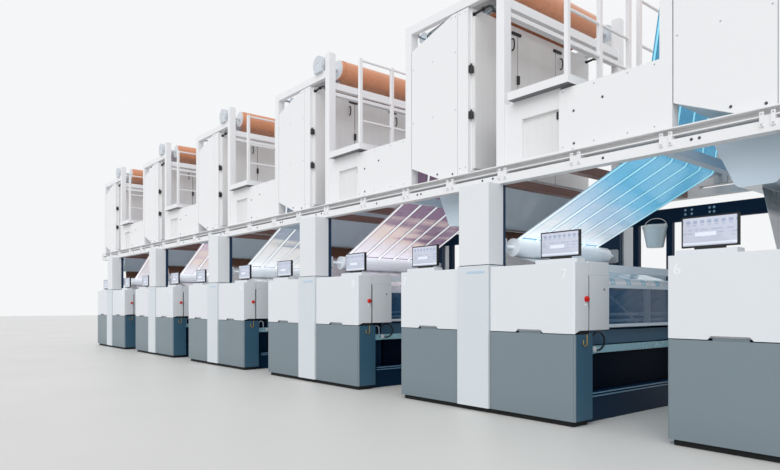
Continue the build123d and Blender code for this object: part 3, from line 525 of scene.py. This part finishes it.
class PRESS_OT_platform(bpy.types.Operator):
    """Paint the platform and the frame on it, and add their bolts and screws"""
    bl_idname = "press.platform"
    bl_label = "Platform and frame"

    def execute(self, context):
        paints = context.scene.press_paints
        size = context.scene.press_fittings.bolt_size
        dress(paint("tower_paint", tuple(paints.tower), 0.4, patch=0.04),
              "platform_beams", "clamp_rails", "rail_clamps", "frame_posts", "top_beams",
              "infill_panels", "hatch_frames", "guard_rails", "dryer_end_panels", "dryer_housings")
        # painted shade: the catwalk edges' faces that look down are dark grey
        edge = paint("edge_paint", tuple(paints.tower), 0.4)
        dress(partly(edge, tint(0.40, 0.40, 0.42), facing_down), "catwalk_edges")
        beam = paint("beam_paint", tint(0.55, 0.42, 0.39), 0.45, patch=0.35)
        dress(partly(beam, tint(0.84, 0.90, 0.95), at_bay_end), "floor_cross_beams")

        # depths of the faces that carry the bolts, next to FACE
        rail_face, beam_face, header_face = 0.212, 0.23, 3.449
        dark = [(x, beam_face, z) for x, z in ((-1.165, 3.358), (-1.078, 3.358), (2.25, 3.35),
                                               (0.27, 3.37), (0.47, 3.37))]
        dark += [(x, FACE, z) for x, z in ((1.764, 4.069), (2.182, 4.145), (1.768, 3.643),
                                           (1.756, 3.559), (-0.795, 3.648), (-0.45, 3.6))]
        build("panel_bolts", in_every_bay([bolt(place, size) for place in dark], both=True),
              metal("bolt_dark", tint(0.38, 0.40, 0.43), 0.4))
        pale = [(x + side * 0.054, rail_face, z) for x in CLAMPS for side in (-1, 1)
                for z in (3.36, 3.47)]
        pale += [(x, FACE, z) for x in (-1.37, -0.90, -0.39) for z in (4.6, 5.5)]
        pale += [(x, FACE, 6.06) for x in (-0.478, -0.39, -0.29, -0.17)]
        pale += [(x, FACE, 3.66) for x in (-0.29, -0.17)]
        pale += [(x, FACE, z) for x in (1.60, 2.06, 2.52, 2.86) for z in (3.62, 4.35)]
        build("panel_screws", in_every_bay([bolt(place, size * 0.62) for place in pale], both=True),
              metal("screw_zinc", tint(0.78, 0.80, 0.83), 0.35))
        # the beam of the first bay ends before the last four of the eight
        heads = [bolt((x, header_face, z), 0.014) for x in (1.756, 1.859, 2.138, 2.206)
                 for z in (3.004, 3.072)]
        build("header_bolts", in_every_bay(heads[:4]) + in_every_bay(heads[4:], bays=BAY_X[1:]),
              metal("header_zinc", tint(0.70, 0.76, 0.80), 0.35))
        return {"FINISHED"}


class PRESS_OT_dryers(bpy.types.Operator):
    """Paint the dryer doors and hoods and add hinges, handles, latches and conduits"""
    bl_idname = "press.dryers"
    bl_label = "Dryers"

    def execute(self, context):
        steel = tuple(context.scene.press_paints.door)
        tall = context.scene.press_fittings.hinge_height

        def sheet(place):
            rolled = place.cloud(14.0, 3.0, (1, 1, 0.03))
            soft = place.cloud(0.8, 2.0, (1, 1, 0.4))
            return {"Base Color": (rolled * 0.3 + soft * 0.7).blend(steel, shade(steel, 0.74)),
                    "Roughness": 0.28 + rolled * 0.18, "Normal": rolled.bump(0.05, 0.001)}

        dress(finish("door_sheet", sheet, Metallic=0.1), "dryer_doors", "hatch_panels")
        dress(paint("hood_paint", tint(0.88, 0.95, 1.0), 0.26, patch=0.25, Coat_Weight=0.5),
              "dryer_hoods")
        black = paint("fitting_black", tint(0.10, 0.105, 0.11), 0.35, patch=0.3)

        knuckle = [(0.016, -tall / 2), (0.016, -0.03), (0.013, -0.028), (0.013, 0.028),
                   (0.016, 0.03), (0.016, tall / 2)]
        shapes = []
        for z in (4.455, 5.16):
            shapes.append(block((-0.117, 0.372, z), ACROSS, UP, (0.07, tall * 0.8), 0.05, 0.006))
            shapes.append(lathe((-0.062, 0.345, z), UP, knuckle, 14))
        # a bow grip's path: its reach from the door is the root of a sine, its height a cosine
        grip_height, grip_half, grip_reach, grip_from_seam = 5.7665, 0.095, 0.055, 1.17
        bend = np.linspace(0, math.pi, 9)
        for seam, way in ((1.437, 1), (2.463, -1)):
            shapes.append(block((DOOR_X, seam - way * 0.045, 5.958), ACROSS, UP, (0.22, 0.04),
                                0.03, 0.006))
            for z in (5.215, 4.3):
                shapes.append(block((DOOR_X, seam, z), ACROSS, UP, (0.045, 0.14), 0.035, 0.006))
            path = np.stack([DOOR_X - 0.005 + grip_reach * np.sin(bend) ** 0.5,
                             np.full(9, seam + way * grip_from_seam),
                             grip_height - grip_half * np.cos(bend)], -1)
            shapes.append(sweep(path, 0.012))
        build("door_fittings", in_every_bay(shapes), black)

        latch = [block((1.475, 0.414, 4.085), ALONG, UP, (0.035, 0.10), 0.035, 0.006),
                 block((1.511, 0.414, 3.878), ALONG, UP, (0.014, 0.54), 0.006)]
        build("hatch_latches", in_every_bay(latch, both=True), black)

        depth = 0.44
        bend = arc((0.20, depth, 5.94), (0, 0, 0.10), (0.10, 0, 0), 0, 90, 7)
        run = route((-0.11, depth, 6.02), (0.10, depth, 6.04), bend, (0.30, depth, 5.93),
                    (0.36, depth, 5.90), (0.455, depth, 5.90))
        collar = [(0.03, 0), (0.034, 0.006), (0.034, 0.03), (0.03, 0.036)]
        pipes = [sweep(run, 0.02, 10)]
        pipes += [lathe((x, depth, z), ALONG, collar, 12)
                  for x, z in ((-0.11, 6.02), (0.08, 6.038), (0.42, 5.90))]
        build("tower_conduits", in_every_bay(pipes, both=True), black)
        return {"FINISHED"}


class PRESS_OT_catwalks(bpy.types.Operator):
    """Finish the catwalk decks"""
    bl_idname = "press.catwalks"
    bl_label = "Catwalks"

    def execute(self, context):
        def grating(place):
            x, y, z = place.axes()
            bars = (x * 33.0).fraction().near(0.5, 0.14)
            ties = (y * 12.0).fraction().near(0.5, 0.08)
            solid = bars.larger(ties)
            worn = place.cloud(6.0, 3.0)
            # painted shade: the openings between the bars and ties are near black
            return {"Base Color": solid.blend(tint(0.12, 0.13, 0.14), tint(0.55, 0.57, 0.59)),
                    "Roughness": 0.45 + worn * 0.2, "Normal": solid.bump(0.6, 0.01)}

        dress(finish("grating_steel", grating, Metallic=0.6), "catwalk_decks")
        return {"FINISHED"}


class PRESS_OT_webs(bpy.types.Operator):
    """Print the webs"""
    bl_idname = "press.webs"
    bl_label = "Webs"

    def execute(self, context):
        reverse = tuple(context.scene.press_paints.reverse)
        lane_pitch, lane_start = 0.42, -1.05
        # heights that part the web's runs: under and over the lead roller, the fold, the way up
        # to the towers, their tops and the top rollers' centres
        low_top, mid_top, rise_top, tower_top, roller_height = 1.83, 2.4, 3.7, 6.0, 6.44

        def bright(*seen):
            """The ink that looks like the seen colour on the shaded underside of the web."""
            return shade(tint(*seen), 1.35)

        def printed(place):
            x, y, z = place.axes()
            bay, local = bay_and_x(x)
            pick = (bay + 0.5) / UNITS

            def by_bay(*shades):
                """One colour to a bay, the first for the bay farthest to the left."""
                stops = [(i / UNITS, s) for i, s in enumerate(shades)]
                return pick.node("ShaderNodeValToRGB", {"interpolation": "CONSTANT", "stops": stops},
                                 {0: pick})

            # the inks at the top, the middle and the foot of the web's way down
            high = by_bay(bright(0.80, 0.70, 0.74), bright(0.78, 0.70, 0.76), bright(0.56, 0.60, 0.66),
                          bright(0.52, 0.43, 0.52), bright(0.42, 0.72, 0.88), bright(0.42, 0.72, 0.88))
            mid = by_bay(bright(0.88, 0.80, 0.80), bright(0.90, 0.80, 0.76), bright(0.88, 0.84, 0.82),
                         bright(0.90, 0.79, 0.76), bright(0.71, 0.79, 0.92), bright(0.71, 0.79, 0.92))
            low = by_bay(bright(0.80, 0.79, 0.80), bright(0.82, 0.81, 0.82), bright(0.86, 0.86, 0.87),
                         bright(0.86, 0.84, 0.87), bright(0.87, 0.90, 0.94), bright(0.87, 0.90, 0.94))
            # bands across the web, faint in the two blue bays at the right
            band = place.cloud(2.1, 2.0, (1.5, 0.12, 0.0)) - 0.5
            lie = local + y * 0.24 + band * (2.6 - (bay > 3.5) * 2.2)
            ink = lie.ease(1.14, 1.72).blend(lie.ease(0.66, 1.18).blend(low, mid), high)
            # white again below the lead roller, and darker where the way down is steep, a painted shade
            ink = z.ease(2.3, 2.6).blend(low, ink)
            ink = (z.ease(3.4, 4.2) * 0.62).blend(ink, ink.scaled(0.42))
            # bare lanes with an inked rim on either side
            edge = (((y - lane_start) / lane_pitch + 0.5).fraction() - 0.5) * lane_pitch
            size = edge.away()
            white = 1.0 - size.ease(0.019, 0.027)
            rim = size.ease(0.027, 0.033) * (1.0 - size.ease(0.042, 0.070)) * 0.75
            bare = by_bay(*[bright(0.84, 0.86, 0.98)] * 4, *[bright(0.54, 0.80, 0.97)] * 2)
            bare = lie.ease(0.9, 1.9).blend(bright(0.84, 0.90, 0.97), bare)
            # a register line at the lead roller, broken at the lanes
            line = z.near(2.556, 0.008) * (local > 0.2)
            body = white.blend(rim.larger(line).blend(ink, high.scaled(0.55)), bare)
            # the printed side lies to the left of the web's way, which turns from run to run
            east, left = local > 2.0, local < -0.2
            top = (z > tower_top) * (1.0 - east)
            low_run = (z < low_top) * (1.0 - left)
            mid_run = (z > low_top) * (z < mid_top) * (local > 0.2) * (1.0 - east)
            rise = left * (z < rise_top)
            out = top * (z < roller_height) * (local > -0.25)
            normal = place.normal().axes()
            across = 1.0 - top * 1.3 - low_run * 0.7 - rise * 2.0
            above = mid_run * 1.2 + out * 2.0 + rise * 0.1 - low_run * 0.4 - top * 0.4 - 0.6
            side = normal[0] * across + normal[2] * above
            worn = place.cloud(3.0, 3.0)
            # the back is rust coloured over the towers; on the way up it is much darker, a painted
            # shade, and in the first bay grey without the rust colour
            shaded_rise_back = by_bay(*[shade(reverse, 0.25)] * (UNITS - 1), tint(0.40, 0.47, 0.50))
            rust = (worn * 0.5).blend(reverse, shade(reverse, 0.7))
            rust = (left * (z < tower_top)).blend(rust, shaded_rise_back)
            back = (z.ease(2.5, 2.62) * left.larger(z.ease(5.3, 6.1))).blend(low, rust)
            shown = (side > 0.0).blend(back, body)
            # painted light: the glow goes on faces that look down or sideways, between the lead roller
            # and the tower tops, off the way up
            painted_glow = (normal[2] < 0.3) * (z < tower_top) * z.ease(2.2, 2.5) * (1.0 - left)
            return {"Base Color": shown, "Emission Color": shown.scaled(painted_glow * (1.0 + white * 0.8)),
                    "Roughness": 0.22 + worn * 0.12,
                    "Normal": place.cloud(5.0, 1.0, (1, 0.3, 1)).bump(0.05, 0.01)}

        # a painted glow: the web's faces that look down and sideways give a little light of their own,
        # more on the bare lanes, which lightens their shade and stands for what comes through the thin
        # film
        dress(finish("printed_web", printed, Coat_Weight=0.3, Emission_Strength=0.38), "web_sheets")
        return {"FINISHED"}


class PRESS_OT_rollers(bpy.types.Operator):
    """Finish the rollers and their bearings"""
    bl_idname = "press.rollers"
    bl_label = "Rollers"

    def execute(self, context):
        spin = (1, 8, 1)
        rubber_half = 1.1895
        dress(metal("roller_chrome", tint(0.80, 0.83, 0.86), 0.22, spin),
              "guide_rollers", "impression_cylinders")

        def turned(place):
            lines = place.cloud(60.0, 3.0, spin)
            skin = (lines * 0.25).blend(tint(0.94, 0.96, 0.98), tint(0.78, 0.83, 0.87))
            # painted highlight: the glow is strongest on the top of the roller
            lit = place.normal().axes()[2] * 0.6 + 0.8
            return {"Base Color": skin, "Emission Color": skin.scaled(lit),
                    "Roughness": 0.22 + lines * 0.12, "Normal": lines.bump(0.05, 0.0005)}

        # a painted glow stands for the hall that the roller mirrors, brighter on its top than underneath
        dress(finish("roller_white", turned, Coat_Weight=0.6, Emission_Strength=0.22),
              *[f"lead_roller_{i + 1}" for i in range(UNITS)])

        def rubber(place):
            end = place.axes()[1].away() > rubber_half
            worn = place.cloud(4.0, 3.0)
            coat = (worn * 0.4).blend(tint(0.87, 0.59, 0.44), tint(0.72, 0.45, 0.33))
            return {"Base Color": end.blend(coat, tint(0.86, 0.87, 0.88)),
                    "Roughness": 0.4 + worn * 0.15, "Normal": place.cloud(120.0, 2.0).bump(0.08, 0.001)}

        dress(finish("roller_rubber", rubber), *[f"top_roller_{i + 1}" for i in range(UNITS)])
        dress(paint("bearing_paint", tint(0.80, 0.82, 0.84), 0.42, patch=0.1), "roller_supports")
        return {"FINISHED"}


class PRESS_OT_stations(bpy.types.Operator):
    """Finish the print stations that show between the cabinets"""
    bl_idname = "press.stations"
    bl_label = "Print stations"

    def execute(self, context):
        dress(paint("plate_rubber", tint(0.16, 0.32, 0.44), 0.45, patch=0.3), "print_cylinders")

        def wet(place):
            pool = place.cloud(3.5, 4.0)
            drops = place.cloud(22.0, 3.0)
            return {"Base Color": (pool * 0.5).blend(tint(0.76, 0.96, 1.0), tint(0.50, 0.76, 0.88)),
                    "Roughness": 0.2 + drops * 0.12, "Normal": drops.bump(0.04, 0.001)}

        dress(finish("tray_steel", wet, Metallic=0.1), "ink_trays")

        def clear(place):
            smear = place.cloud(3.0, 4.0)
            return {"Roughness": 0.05 + smear * 0.1, "Alpha": 0.3 + smear * 0.2}

        # painted shade: the pane's blue tint and partial cover darken the station behind it
        dress(finish("guard_pane", clear, Base_Color=tint(0.18, 0.42, 0.60)), "print_guards")

        def straight(start, end, radius, sides):
            """A bar from start to end through the middle between them."""
            return sweep(np.linspace(start, end, 3), radius, sides)

        lips = [straight((1.884, 0.52, z), (1.884, 3.38, z), 0.009, 8) for z in (0.37, 0.33)]
        build("sill_lips", in_every_bay(lips), paint("lip_paint", tint(0.42, 0.58, 0.68), 0.3))
        bars = [straight((1.745, 1.01, 1.772), (1.745, 1.97, 1.268), 0.017, 10)]
        bars += [straight((x, 0.779, z), (x, 3.121, z), 0.024, 10)
                 for x, z in ((1.735, 1.40), (1.72, 1.315))]
        build("guard_braces", in_every_bay(bars),
              paint("brace_paint", tint(0.93, 0.96, 0.98), 0.3, patch=0.15))
        bend = arc((1.825, 0.80, 1.05), (0, 0.155, 0), (0, 0, 0.125), 150, -125, 17)
        drain = sweep(route((1.74, 0.60, 1.13), bend, (1.79, 0.66, 0.935)), 0.014)
        build("drain_bends", in_every_bay([drain]),
              paint("drain_black", tint(0.13, 0.17, 0.20), 0.3))

        # the ink circuit at the tray's end: a cock with its hand wheel, and two bent pipes
        bend = arc((2.012, 0.215, 1.05), (0, 0.04, 0), (0, 0, -0.04), 0, 180, 9)
        hook = sweep(route((2.012, 0.255, 1.158), bend, (2.012, 0.175, 1.09)), 0.008)
        build("brass_pipes", in_every_bay([hook]), metal("pipe_brass", tint(0.78, 0.66, 0.42), 0.3))
        bend = arc((1.86, 0.53, 1.09), (0, 0.06, 0), (0, 0, 0.06), 0, 180, 9)
        loop = sweep(route((1.80, 0.60, 0.975), (1.86, 0.595, 1.0), bend, (1.86, 0.47, 1.02),
                           (1.80, 0.47, 0.975)), 0.011)
        build("ink_pipes", in_every_bay([loop]), paint("pipe_white", tint(0.80, 0.86, 0.90), 0.3))
        wheel = [(0.0045, 0), (0.0045, 0.03), (0.034, 0.032), (0.042, 0.037), (0.042, 0.045),
                 (0.034, 0.05), (0.012, 0.052), (0.009, 0.056)]
        build("ink_cocks", in_every_bay([lathe((1.797, 0.70, 0.945), ALONG, wheel, 20)]),
              paint("cock_white", tint(0.88, 0.90, 0.92), 0.3))

        # the pail that hangs under the far header beam of the second bay
        pail_x = 1.26
        profile = [(0.13, 0), (0.135, 0.012), (0.195, 0.32), (0.205, 0.325), (0.205, 0.345),
                   (0.198, 0.35), (0.2, 0.36), (0.2, 0.372), (0.06, 0.378)]
        pail = lathe((pail_x, 3.42, 2.5), UP, profile, 32)
        bail = sweep(arc((pail_x, 3.43, 2.84), (0.203, 0, 0), (0, 0, 0.15), 0, 180, 13), 0.006)
        build("ink_pail", in_every_bay([pail, bail], bays=BAY_X[1:2]),
              paint("pail_white", tint(0.97, 0.98, 0.97), 0.35, patch=0.1))
        return {"FINISHED"}


class PRESS_OT_screens(bpy.types.Operator):
    """Finish the screens and the stop buttons"""
    bl_idname = "press.screens"
    bl_label = "Screens"

    def execute(self, context):
        left_screen, right_screen, screen_height = -0.96, 1.64, 2.33
        button_depth = 0.245
        dress(paint("screen_shell", tint(0.06, 0.065, 0.07), 0.3, patch=0.2), "screens")
        dress(paint("base_paint", tuple(context.scene.press_paints.cover), 0.36), "screen_bases")
        profile = [(0.036, 0), (0.036, 0.006), (0.032, 0.01), (0.02, 0.012), (0.015, 0.013),
                   (0.015, 0.02), (0.034, 0.022), (0.0375, 0.027), (0.036, 0.034), (0.026, 0.041),
                   (0.01, 0.0445)]
        head = lathe((COVER_END, button_depth, 1.61), ALONG, profile, 24)
        knobs = build("stop_heads", in_every_bay([head], both=True),
                      paint("stop_plastic", tint(0.80, 0.10, 0.09), 0.3))
        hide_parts("stop_buttons")
        profile = [(0.017, 0), (0.017, 0.005), (0.012, 0.009), (0.004, 0.0095)]
        lamp = lathe((COVER_END, button_depth, 1.535), ALONG, profile, 16)
        build("stop_lamps", in_every_bay([lamp], both=True),
              paint("lamp_white", tint(0.93, 0.94, 0.95), 0.25))

        def tiles(place):
            """Rows of small plain blocks: a row of keys, two rows of bars and a strip below."""
            x, y, z = place.axes()
            local = bay_and_x(x)[1]
            u = local - left_screen - (local > 0.3) * (right_screen - left_screen)
            v = z - screen_height
            column = (u * 13.5 + 0.5).fraction()
            key = column.near(0.5, 0.3) * v.near(0.105, 0.017)
            name = column.near(0.5, 0.22) * v.near(0.072, 0.006)
            bars = (u * 6.0).fraction().near(0.5, 0.4) * (v * 26.0).fraction().near(0.5, 0.2)
            bars = bars * v.near(-0.005, 0.055) * (place.cloud(16.0, 1.0) > 0.47)
            card = u.near(-0.04, 0.11) * v.near(-0.03, 0.022)
            strip = v.near(-0.128, 0.012)
            soft = place.cloud(4.0, 2.0)
            face = soft.blend(tint(0.70, 0.72, 0.77), tint(0.77, 0.78, 0.83))
            dark = (key * 0.8).larger(name * 0.6).larger(bars * 0.5)
            face = dark.blend(face, tint(0.55, 0.60, 0.70))
            shown = card.larger(strip).blend(face, tint(0.86, 0.88, 0.92))
            return {"Base Color": shown, "Emission Color": shown, "Roughness": 0.15 + soft * 0.05}

        rims = [(0, 0), (0, 0.002), (0.002, 0.003)]
        faces = [plate((x, 0.199, screen_height), ALONG, UP, (0.565, 0.305), rims, 0.06)
                 for x in (left_screen, right_screen)]
        build("screen_faces", in_every_bay(faces), finish("screen_face", tiles, Emission_Strength=0.15))
        return {"FINISHED"}


class PRESS_OT_stage(bpy.types.Operator):
    """Make the floor, the lights and the camera"""
    bl_idname = "press.stage"
    bl_label = "Studio"

    def execute(self, context):
        scene, studio = context.scene, context.scene.press_studio
        scene.view_settings.view_transform = "Standard"
        reach, points_a_side = 90, 7
        side = np.linspace(-reach, reach, points_a_side)
        x, y = np.meshgrid(side, side, indexing="ij")
        points = np.stack([x, y, np.zeros_like(x)], -1).reshape(-1, 3)
        r, c = np.meshgrid(np.arange(points_a_side - 1), np.arange(points_a_side - 1), indexing="ij")
        a = (r * points_a_side + c).ravel()
        b = a + points_a_side
        mesh = bpy.data.meshes.new("floor")
        mesh.from_pydata(points, [], np.stack([a, b, b + 1, a + 1], -1).tolist())

        def concrete(place):
            soft = place.cloud(0.35, 4.0)
            grey = tuple(studio.floor)
            return {"Base Color": (soft * 0.4).blend(grey, shade(grey, 0.85)),
                    "Roughness": 0.35 + soft * 0.2}

        mesh.materials.append(finish("floor_concrete", concrete))
        floor = bpy.data.objects.new("floor", mesh)
        scene.collection.objects.link(floor)

        world = bpy.data.worlds.new("studio")
        scene.world = world
        world.use_nodes = True
        back = world.node_tree.nodes["Background"]
        rays = Wire(world.node_tree)
        seen = rays.node("ShaderNodeLightPath", {}, {}, "Is Camera Ray")
        gloss = rays.node("ShaderNodeLightPath", {}, {}, "Is Glossy Ray")
        clear = rays.node("ShaderNodeLightPath", {}, {}, "Is Transmission Ray")
        shown = seen.larger(gloss).larger(clear)
        backdrop = shown.blend(tint(0.93, 0.95, 0.98), tint(0.96, 0.965, 0.97))
        level = shown * (1.0 - studio.fill) + studio.fill
        world.node_tree.links.new(backdrop.socket, back.inputs["Color"])
        world.node_tree.links.new(level.socket, back.inputs["Strength"])

        def sun(name, strength, spread, lean, turn, light=(1.0, 1.0, 1.0)):
            lamp = bpy.data.lights.new(name, "SUN")
            lamp.energy, lamp.angle, lamp.color = strength, math.radians(spread), light
            holder = bpy.data.objects.new(name, lamp)
            holder.rotation_euler = (math.radians(lean), 0, math.radians(turn))
            scene.collection.objects.link(holder)

        sun("key", studio.key, 50, 48, 22)
        # a low soft lamp from the right lights the webs' undersides as the hall's floor does
        sun("low", studio.low, 60, 84, 66, (0.9, 0.96, 1.0))

        # the camera as solved from the photograph: level, at a standing eye height
        eye_height, from_second_bay, from_line, heading = 1.53, 6.546, 8.683, 50.42
        lens = bpy.data.cameras.new("photo_camera")
        lens.sensor_width, lens.lens, lens.shift_y = 36.0, 28.95, 0.0901
        lens.clip_end = 400.0
        camera = bpy.data.objects.new("photo_camera", lens)
        camera.location = (BAY_X[1] + from_second_bay, -from_line, eye_height)
        camera.rotation_euler = (math.radians(90), 0, math.radians(heading))
        scene.collection.objects.link(camera)
        scene.camera = camera
        return {"FINISHED"}


OPERATORS = (PRESS_OT_stage, PRESS_OT_cabinets, PRESS_OT_numbers, PRESS_OT_uprights, PRESS_OT_platform,
             PRESS_OT_dryers, PRESS_OT_catwalks, PRESS_OT_webs, PRESS_OT_rollers,
             PRESS_OT_stations, PRESS_OT_screens)


class PRESS_PT_panel(bpy.types.Panel):
    """Lists the press's colours, sizes and steps"""
    bl_label = "Printing press line"
    bl_idname = "PRESS_PT_panel"
    bl_space_type = "VIEW_3D"
    bl_region_type = "UI"
    bl_category = "Press"

    def draw(self, context):
        for group in (context.scene.press_paints, context.scene.press_fittings,
                      context.scene.press_studio):
            for name in group.__annotations__:
                self.layout.prop(group, name)
        for operator in OPERATORS:
            self.layout.operator(operator.bl_idname)


GROUPS = {"press_paints": PressPaints, "press_fittings": PressFittings,
          "press_studio": PressStudio}


def register():
    for kind in (*GROUPS.values(), *OPERATORS, PRESS_PT_panel):
        bpy.utils.register_class(kind)
    for name, kind in GROUPS.items():
        setattr(bpy.types.Scene, name, bpy.props.PointerProperty(type=kind))


def unregister():
    for name in GROUPS:
        delattr(bpy.types.Scene, name)
    for kind in (PRESS_PT_panel, *reversed(OPERATORS), *GROUPS.values()):
        bpy.utils.unregister_class(kind)


def main():
    register()
    for operator in OPERATORS:
        group, step = operator.bl_idname.split(".")
        getattr(getattr(bpy.ops, group), step)()


if __name__ == "__main__":
    main()
